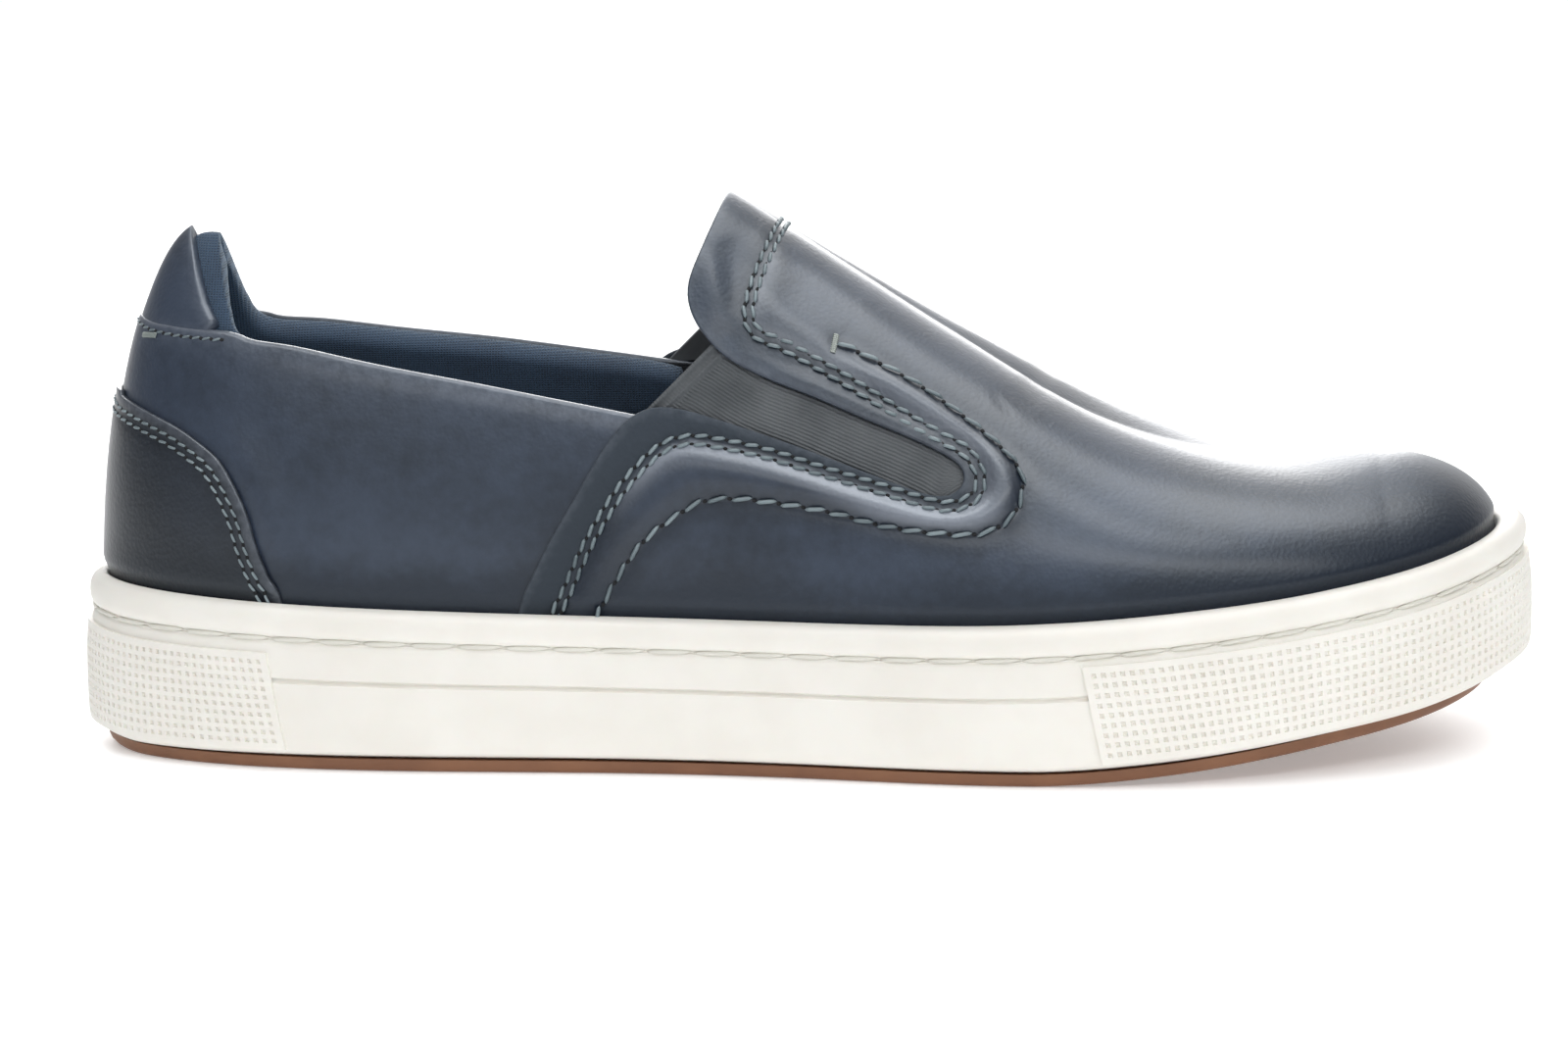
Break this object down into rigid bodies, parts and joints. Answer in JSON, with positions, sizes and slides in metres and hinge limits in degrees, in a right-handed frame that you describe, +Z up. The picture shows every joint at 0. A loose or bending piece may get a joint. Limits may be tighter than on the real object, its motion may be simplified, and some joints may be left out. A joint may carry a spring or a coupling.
{
  "type": "slip-on shoe",
  "caption": "Low slip-on casual shoe for the right foot: navy leather upper with elastic side gores and a heel tab on an off-white stitched cupsole with a thin gum tread.",
  "frame": {"origin": "on the floor under the middle of the shoe's bounding box", "axes": "+X towards the toe, +Z up, -Y towards the outer side of the foot"},
  "size_m": [0.3, 0.1092, 0.1139],
  "materials": {
    "gum": "matt gum rubber",
    "rubber": "off-white moulded rubber, satin",
    "footbed": "dark textile over foam",
    "navy_upper": "burnished navy leather, glossy coat",
    "navy_vamp": "burnished navy leather, glossy coat",
    "navy_counter": "burnished navy leather, glossy coat",
    "navy_tab": "navy leather",
    "elastic": "ribbed dark grey elastic",
    "knit": "dark navy knit over padding"
  },
  "bodies": {
    "root": {"outsole": "gum", "cupsole": "rubber", "insole": "footbed", "upper": "navy_upper", "vamp": "navy_vamp", "heel_counter": "navy_counter", "heel_tab": "navy_tab", "gore_outer": "elastic", "gore_inner": "elastic", "collar_lining": "knit"}
  },
  "joints": []
}
